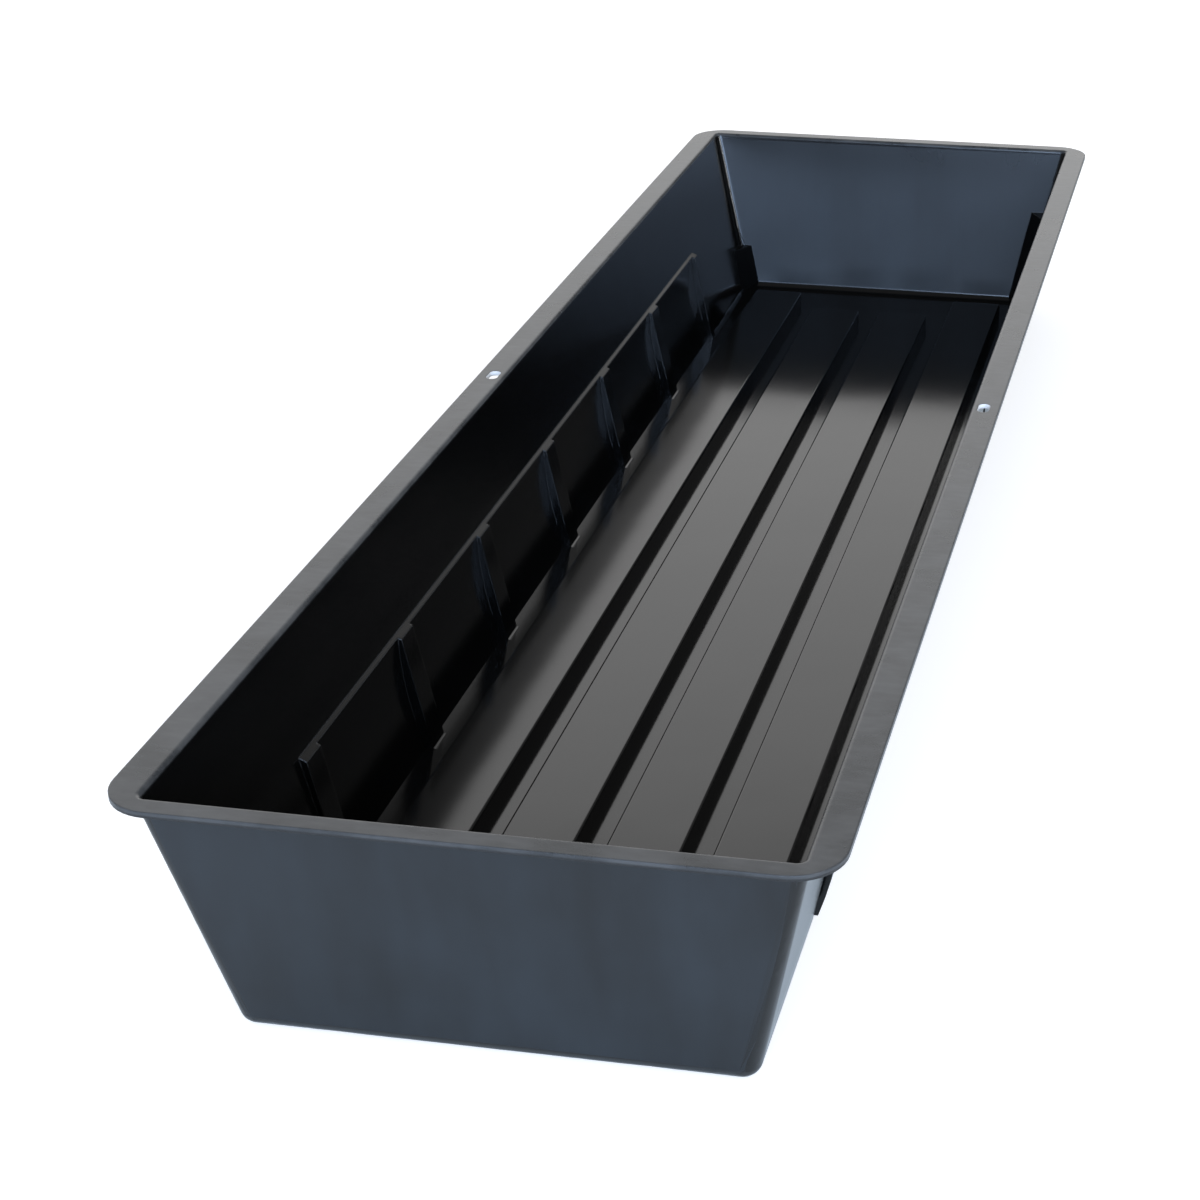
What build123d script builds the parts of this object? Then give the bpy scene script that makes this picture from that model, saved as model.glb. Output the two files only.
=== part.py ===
# Long shallow growing tank in one moulded sheet: a tapered trough with a flat rim, long
# walls ledged and scooped between ribs, stepped far corners and a floor of raised lands.
# Width along X, length along Y (near end at -Y), Z up from the underside, millimetres.

from build123d import *

import os

# Overall
width = 345.0
length = 1200.0
height = 135.0
sheet = 3.0

# Rim: flat plate turned outward, wider along the sides than at the ends
rim_side = 17.5
rim_end = 12.5
rim_corner = 26.0
rim_bend = 2.5

# Walls: how far each leans in between the rim and the floor, and the corners between them
side_lean = 29.5
end_lean = 19.0
corner_top = 3.5
corner_foot = 6.5
foot_bend = 5.5

# Long walls: a narrow sloped ledge, below which the wall thickens toward its crest
ledge_height = 75.0
ledge_drop = 1.0
ledge_depth = 2.2
ledge_short = 10.0

# Upright ribs below the ledge, left standing between panels that are scooped out in an arc
rib_count = 7
rib_pitch = 144.0
rib_width = 19.0
rib_head_depth = 4.2
rib_foot_depth = 2.3
panel_foot_depth = 1.8
panel_bow = 3.3

# Far corners: steps cut straight across the corner, low at the left and tall at the right
lug_top_low = 38.5
lug_across_low = 11.5
lug_along_low = 19.0
lug_top_tall = 81.0
lug_across_tall = 15.0
lug_along_tall = 25.0

# Floor: raised lands with sunken grooves between, open to a sunken channel at each end
land_count = 4
land_width = 41.5
groove_width = 17.0
land_rise = 10.5
outer_land_gap = 41.0
inner_land_gap = 81.0
land_corner = 4.0
land_round = 1.6

# Tie holes: one slot in each side rim
hole_width = 7.5
hole_length = 14.5
hole_from_edge = 10.0
hole_offset = -33.5

# How far a cutting shape runs past the tank, and how near an edge lies when it is picked
beyond = 20.0
pick = 0.05

# Worked out from the sizes above
floor = sheet
depth = height - floor
rim_x = width / 2 - rim_side
rim_y = length / 2 - rim_end
foot_x = rim_x - side_lean
foot_y = rim_y - end_lean
back = width / 2 + beyond
crest = ledge_height - ledge_drop


def wall_x(z):
    """Inner face of a long wall at height z."""
    return foot_x + side_lean * (z - floor) / depth


def wall_y(z):
    """Inner face of an end wall at height z."""
    return foot_y + end_lean * (z - floor) / depth


# The ledge's crest, and the slope of its top, which the ribs' heads share
crest_x = wall_x(crest) - ledge_depth
ledge_slope = ledge_drop / (wall_x(ledge_height) - crest_x)
rib_crest = crest - ledge_slope * (rib_head_depth - ledge_depth)


def ledge_z(x):
    """Height of the ledge's sloped top, carried on past its crest and into the wall."""
    return crest + ledge_slope * (x - crest_x)


def rib_x(z):
    """Front face of the ribs, leaning a little less than the wall."""
    share = (z - floor) / (rib_crest - floor)
    return wall_x(z) - rib_foot_depth - (rib_head_depth - rib_foot_depth) * share


def upright(outline, y0, y1, grow):
    """Solid of an XZ outline drawn out from y0 to y1, every face moved out by grow."""
    face = Pos(0, y0 - grow, 0) * make_face(outline)
    if grow != 0:
        face = offset(face, amount=grow, kind=Kind.INTERSECTION)
    return extrude(face, amount=y1 - y0 + 2 * grow, dir=(0, 1, 0))


def points(side, *pairs):
    """XZ pairs as points of the left (-1) or right (1) wall."""
    return [(side * x, 0, z) for x, z in pairs]


def rounded(body, edges, radius):
    """The body with the edges rounded, or left sharp where nothing of the radius is left."""
    return fillet(edges, radius) if radius > 0 else body


def trough(grow):
    """The plain tapered trough, every face moved out by grow."""
    low = floor - grow
    outlines = []
    for z, radius in ((low, corner_foot + grow), (height + beyond, corner_top + grow)):
        plan = RectangleRounded(2 * (wall_x(z) + grow), 2 * (wall_y(z) + grow), radius)
        outlines.append(Pos(0, 0, z) * plan)
    body = loft(outlines, ruled=True)
    foot = body.edges().filter_by_position(Axis.Z, low - pick, low + pick)
    return fillet(foot, foot_bend + grow)


def thickening(side, grow):
    """What stands in from one long wall below the ledge, before the panels are scooped out."""
    near = -((rib_count - 1) * rib_pitch + rib_width) / 2
    corners = points(
        side, (rib_x(rib_crest), rib_crest), (back, ledge_z(back)), (back, -beyond), (rib_x(-beyond), -beyond)
    )
    return upright(Polyline(*corners, close=True), near, -near - ledge_short, grow)


def panel(side, k, grow):
    """Space of the scooped panel between ribs k and k + 1."""
    inner = foot_x / 2
    foot = foot_x + panel_foot_depth
    middle = ((foot + crest_x) / 2 + panel_bow, (floor + crest) / 2)
    corners = points(side, (foot, floor), middle, (crest_x, crest), (inner, crest), (inner, floor))
    outline = [ThreePointArc(*corners[:3]), Polyline(*corners[2:], corners[0])]
    y0 = (k - (rib_count - 1) / 2) * rib_pitch + rib_width / 2
    return upright(outline, y0, y0 + rib_pitch - rib_width, grow)


def lug(side, across, along, top, grow):
    """Step over one far corner, its slanting face leaning out with the walls."""
    plans = []
    for z in (-beyond, top + grow):
        x, y = wall_x(z), wall_y(z)
        past = along + beyond
        corners = [(x + past, y - along * (1 + past / across)), (x - across * (1 + past / along), y + past)]
        corners.append((x + past, y + past))
        plan = make_face(Polyline(*[(side * a, b, z) for a, b in corners], close=True))
        plans.append(offset(plan, amount=grow, kind=Kind.INTERSECTION))
    return loft(plans, ruled=True)


def lands(grow):
    """Raised parts of the floor, every face moved out by grow."""
    made = []
    for k in range(land_count):
        x = (k - (land_count - 1) / 2) * (land_width + groove_width)
        gap = outer_land_gap if k in (0, land_count - 1) else inner_land_gap
        plan = RectangleRounded(land_width + 2 * grow, 2 * (foot_y - gap + grow), land_corner + grow)
        top = floor + land_rise + grow
        body = Pos(x, 0, -beyond) * extrude(plan, amount=top + beyond)
        upper = body.edges().filter_by_position(Axis.Z, top - pick, top + pick)
        made.append(rounded(body, upper, land_round + grow))
    return made


def form(grow):
    """Space inside the tank, every face moved out by grow."""
    body = trough(grow) - [thickening(side, -grow) for side in (-1, 1)]
    body += [panel(side, k, grow) for side in (-1, 1) for k in range(rib_count - 1)]
    body -= lands(-grow)
    body -= lug(-1, lug_across_low, lug_along_low, lug_top_low, -grow)
    return body - lug(1, lug_across_tall, lug_along_tall, lug_top_tall, -grow)


def rim():
    """Flat plate of the rim with its tie holes, before the inside is taken out."""
    plate = extrude(RectangleRounded(width, length, rim_corner), amount=sheet)
    slot = extrude(SlotOverall(hole_length, hole_width, rotation=90), amount=sheet)
    for side in (-1, 1):
        plate -= Pos(side * (width / 2 - hole_from_edge), hole_offset, 0) * slot
    return Pos(0, 0, height - sheet) * plate


outside = form(sheet)
outside &= Pos(0, 0, height / 2) * Box(width, length, height)
tank = outside + rim() - form(0.0)
mouth = tank.edges().filter_by_position(Axis.Z, height - pick, height + pick)
mouth = mouth.filter_by(lambda e: abs(e.center().X) < rim_x + pick and abs(e.center().Y) < rim_y + pick)
tank = fillet(mouth, rim_bend)

os.makedirs("parts", exist_ok=True)
export_step(tank, "parts/tank.step")
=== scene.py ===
import bpy
from mathutils import Matrix, Vector


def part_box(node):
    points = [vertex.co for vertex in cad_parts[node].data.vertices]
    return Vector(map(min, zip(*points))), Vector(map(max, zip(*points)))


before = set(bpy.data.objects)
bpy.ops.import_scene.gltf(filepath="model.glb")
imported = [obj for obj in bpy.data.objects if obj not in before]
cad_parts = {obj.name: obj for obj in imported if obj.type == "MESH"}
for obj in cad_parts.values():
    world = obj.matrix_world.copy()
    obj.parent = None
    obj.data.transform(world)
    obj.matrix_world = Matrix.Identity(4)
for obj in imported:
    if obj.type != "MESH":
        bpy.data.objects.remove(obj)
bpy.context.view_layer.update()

# The tank: one long shallow trough, vacuum formed from a single sheet of black plastic
# 3 mm thick. The floor and the long walls are glossy, the two ends are hazier, with a paler
# bluer colour that is painted light, and the flat rim is rubbed and scuffed from handling.
tank = bpy.data.objects["tank"]
low_corner, high_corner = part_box("tank")
rim_height = high_corner[2]
half_length = high_corner[1]


class Signal:
    """A socket in a material; arithmetic on it adds Math nodes."""

    def __init__(self, finish, socket):
        self.finish = finish
        self.socket = socket

    def maths(self, operation, *values):
        return self.finish.node("ShaderNodeMath", {"operation": operation}, dict(enumerate(values)))

    def __add__(self, other):
        return self.maths("ADD", self, other)

    def __sub__(self, other):
        return self.maths("SUBTRACT", self, other)

    def __rsub__(self, other):
        return self.maths("SUBTRACT", other, self)

    def __mul__(self, other):
        return self.maths("MULTIPLY", self, other)

    def __abs__(self):
        return self.maths("ABSOLUTE", self)

    def step(self, start, end):
        """A smooth rise from 0 at start to 1 at end."""
        sockets = {"Value": self, "From Min": start, "From Max": end}
        return self.finish.node("ShaderNodeMapRange", {"interpolation_type": "SMOOTHSTEP"}, sockets)

    __radd__ = __add__
    __rmul__ = __mul__


class Finish:
    """A material or world whose nodes are made one by one by node()."""

    def __init__(self, holder):
        holder.use_nodes = True
        self.holder = holder
        self.tree = holder.node_tree
        self.tree.nodes.clear()

    def node(self, kind, settings=None, sockets=None, output=0):
        made = self.tree.nodes.new(kind)
        for name, value in (settings or {}).items():
            setattr(made, name, value)
        for name, value in (sockets or {}).items():
            if isinstance(value, Signal):
                self.tree.links.new(value.socket, made.inputs[name])
            else:
                made.inputs[name].default_value = value
        return Signal(self, made.outputs[output]) if made.outputs else None

    def mix(self, factor, first, second):
        """From the first colour at 0 to the second at 1."""
        sockets = {"Factor": factor, 6: first, 7: second}
        return self.node("ShaderNodeMix", {"data_type": "RGBA"}, sockets, output=2)

    def parts(self, vector):
        return [self.node("ShaderNodeSeparateXYZ", {}, {"Vector": vector}, axis) for axis in "XYZ"]

    def noise(self, where, scale, detail=2.0, stretch=(1.0, 1.0, 1.0)):
        """Cloudy noise about 0.5, its features wider where stretch is under 1."""
        moved = self.node("ShaderNodeVectorMath", {"operation": "MULTIPLY"}, {0: where, 1: stretch})
        return self.node("ShaderNodeTexNoise", {}, {"Vector": moved, "Scale": scale, "Detail": detail})


def grey(level, blue=1.0):
    """A grey, colder where blue is over 1."""
    return (level * (2.0 - blue) , level, level * blue, 1.0)


plastic = Finish(bpy.data.materials.new("black_moulded_plastic"))
where = plastic.node("ShaderNodeTexCoord", output="Object")
x, y, z = plastic.parts(where)
facing = plastic.node("ShaderNodeNewGeometry", output="True Normal")
facing_x, facing_y, facing_z = plastic.parts(facing)

# Where each finish lies
rim_zone = z.step(rim_height - 0.0028, rim_height - 0.0012)
end_zone = abs(facing_y).step(0.93, 0.985) * abs(y).step(half_length - 0.05, half_length - 0.036)
end_zone = end_zone * (1.0 - z.step(rim_height - 0.0045, rim_height - 0.003))
floor_zone = 1.0 - z.step(0.018, 0.026)
wall_foot = 1.0 - z.step(0.068, 0.072)
edge_radius = 0.0013
turned = plastic.node("ShaderNodeBevel", {"samples": 4}, {"Radius": edge_radius})
same = plastic.node("ShaderNodeVectorMath", {"operation": "DOT_PRODUCT"}, {0: turned, 1: facing}, "Value")
# Edges and creases, where the bevel normal turns from the surface; painted paler below as a painted highlight,
# less at the wall foot and none on the floor.
painted_edge_highlight = (1.0 - same).step(0.01, 0.12) * (1.0 - floor_zone) * (1.0 - 0.7 * wall_foot)

# Colours
cloud = plastic.noise(where, 14.0, 4.0)
streaks = plastic.noise(where, 30.0, 3.0, (1.0, 1.0, 0.15))
patches = plastic.noise(where, 34.0, 5.0)
scuffs = plastic.noise(where, 260.0, 4.0, (0.3, 1.0, 1.0))
# Painted shade: the top of the far end wall is painted darker (and made a little glossier below).
far_top_painted_shade = z.step(0.075, 0.125) * y.step(-0.1, 0.1)
# End walls: a paler, bluer base than the rest of the sheet, painted light where the cold window lamp falls, varied
# by random clouds and streaks.
end_tone_and_painted_light = cloud.step(0.2, 0.8) * 0.5 + streaks.step(0.25, 0.75) * 0.5
end_tone_and_painted_light = end_tone_and_painted_light * (1.0 - 0.7 * far_top_painted_shade)
tone = plastic.mix(end_tone_and_painted_light, grey(0.004, 1.2), grey(0.022, 1.25))
tone = plastic.mix(end_zone, grey(0.0022, 1.05), tone)
worn = patches.step(0.3, 0.7) * 0.7 + scuffs.step(0.35, 0.75) * 0.3
rim_tone = plastic.mix(worn, grey(0.025, 1.1), grey(0.075, 1.03))
tone = plastic.mix(rim_zone, tone, rim_tone)
# Painted highlight: edges and creases a little paler.
tone = plastic.mix(painted_edge_highlight * 0.35, tone, grey(0.12, 1.05))
# Painted light: the walls of the two tie holes are painted near white, standing for the bright backdrop seen
# through them.
tie_hole_painted_light = (1.0 - abs(abs(x) - 0.1625).step(0.0046, 0.0050)) * (1.0 - abs(y + 0.0335).step(0.0080, 0.0085))
tie_hole_painted_light = tie_hole_painted_light * (1.0 - abs(facing_z).step(0.5, 0.9)) * z.step(0.12, 0.13)
tone = plastic.mix(tie_hole_painted_light, tone, grey(0.8))

# Gloss
gloss = 0.15 - 0.04 * floor_zone + 0.03 * cloud
gloss = gloss + end_zone * (0.17 + 0.10 * streaks - 0.10 * far_top_painted_shade)
gloss = gloss + rim_zone * (0.06 + 0.12 * patches)
waves = plastic.noise(where, 9.0, 2.0)
plain = plastic.node("ShaderNodeNewGeometry", output="Normal")
soft = plastic.node("ShaderNodeMix", {"data_type": "VECTOR"}, {"Factor": floor_zone, 4: turned, 5: plain}, 1)
relief = plastic.node("ShaderNodeBump", {}, {"Strength": 0.15, "Distance": 0.002, "Height": waves, "Normal": soft})
shader = plastic.node("ShaderNodeBsdfPrincipled", {}, {"Base Color": tone, "Roughness": gloss, "Normal": relief,
                                                        "IOR": 1.52})
plastic.node("ShaderNodeOutputMaterial", {}, {"Surface": shader})
for slot in tank.material_slots:
    slot.material = plastic.holder

# The floor: a plain white studio sweep.
bpy.ops.mesh.primitive_plane_add(size=14.0, location=(0.0, 2.0, low_corner[2]))
ground = bpy.context.object
ground.name = "studio_floor"
paper = Finish(bpy.data.materials.new("white_paper"))
seen = paper.node("ShaderNodeLightPath", output="Is Camera Ray")
mirrored = paper.node("ShaderNodeLightPath", output="Is Glossy Ray")
matt = paper.node("ShaderNodeBsdfDiffuse", {}, {"Color": (0.8, 0.8, 0.8, 1.0)})
bright = paper.node("ShaderNodeEmission", {}, {"Strength": 0.6})
cold = paper.node("ShaderNodeEmission", {}, {"Color": (0.55, 0.8, 1.0, 1.0), "Strength": 0.2})
lit = paper.node("ShaderNodeMixShader", {}, {0: seen, 1: cold, 2: bright})
both = paper.node("ShaderNodeAddShader", {}, {0: matt, 1: lit})
shown = seen.maths("MAXIMUM", seen, mirrored)
paper.node("ShaderNodeOutputMaterial", {}, {"Surface": paper.node("ShaderNodeMixShader", {}, {0: shown, 1: matt, 2: both})})
ground.data.materials.append(paper.holder)

# The room: white all round for the camera, brightest low down beyond the tank, which is
# what the glossy floor and rim mirror, and dimmer behind the camera.
world = bpy.data.worlds.new("studio")
bpy.context.scene.world = world
room = Finish(world)
way = room.node("ShaderNodeTexCoord", output="Generated")
way_x, way_y, way_z = room.parts(way)
seen = room.node("ShaderNodeLightPath", output="Is Camera Ray")
mirrored = room.node("ShaderNodeLightPath", output="Is Glossy Ray")
ahead = way_y.step(0.2, 0.6)
inside = ahead * (1.0 - way_x.step(-0.04, 0.13)) * (1.0 - way_z.step(0.50, 0.64))
glow = 0.2 + inside * (1.45 + 0.6 * (1.0 - way_z.step(0.22, 0.36)) * way_x.step(-0.3, 0.0))
diffuse_level = 0.8
level = diffuse_level + mirrored * (glow - diffuse_level)
level = level + seen * (1.0 - level)
room.node("ShaderNodeOutputWorld", {}, {"Surface": room.node("ShaderNodeBackground", {}, {"Strength": level})})


def lamp(name, size, radiance, place, aim, shade=(1.0, 1.0, 1.0)):
    """A soft box of the given brightness that faces a point."""
    data = bpy.data.lights.new(name, "AREA")
    data.shape = "RECTANGLE"
    data.size, data.size_y = size
    data.energy = radiance * 3.1416 * size[0] * size[1]
    data.color = shade
    holder = bpy.data.objects.new(name, data)
    bpy.context.collection.objects.link(holder)
    holder.location = place
    holder.rotation_euler = (Vector(aim) - Vector(place)).to_track_quat("-Z", "Y").to_euler()


lamp("window", (3.0, 1.6), 13.0, (0.9, -4.4, 1.4), (0.0, 0.3, 0.1), (0.54, 0.73, 1.05))
lamp("strip", (0.7, 1.2), 16.0, (3.0, -2.2, 0.9), (0.0, 0.4, 0.1), (0.9, 0.95, 1.0))

# Camera: the photograph's own viewpoint, worked out from the tank's edges, with the
# frame shifted because the picture is a crop.
photo_pixels = 1200.0
focal_pixels = 2410.5
centre_pixel = (853.6, 621.6)
eye = Vector((0.32942, -1.46377, 0.69338))
right_way = Vector((0.98465279, 0.17448057, 0.00392666))
down_way = Vector((0.0807764, -0.43567351, -0.89647296))
forward_way = Vector((-0.15470637, 0.88303178, -0.44308105))
view_data = bpy.data.cameras.new("photo_view")
view_data.sensor_width = 36.0
view_data.lens = 36.0 * focal_pixels / photo_pixels
view_data.shift_x = (photo_pixels / 2 - centre_pixel[0]) / photo_pixels
view_data.shift_y = (centre_pixel[1] - photo_pixels / 2) / photo_pixels
view_data.clip_start = 0.05
view_data.clip_end = 60.0
camera = bpy.data.objects.new("photo_view", view_data)
bpy.context.collection.objects.link(camera)
turn = Matrix((right_way, -down_way, -forward_way)).transposed()
camera.matrix_world = Matrix.Translation(eye) @ turn.to_4x4()
bpy.context.scene.camera = camera

bpy.context.scene.view_settings.view_transform = "Standard"
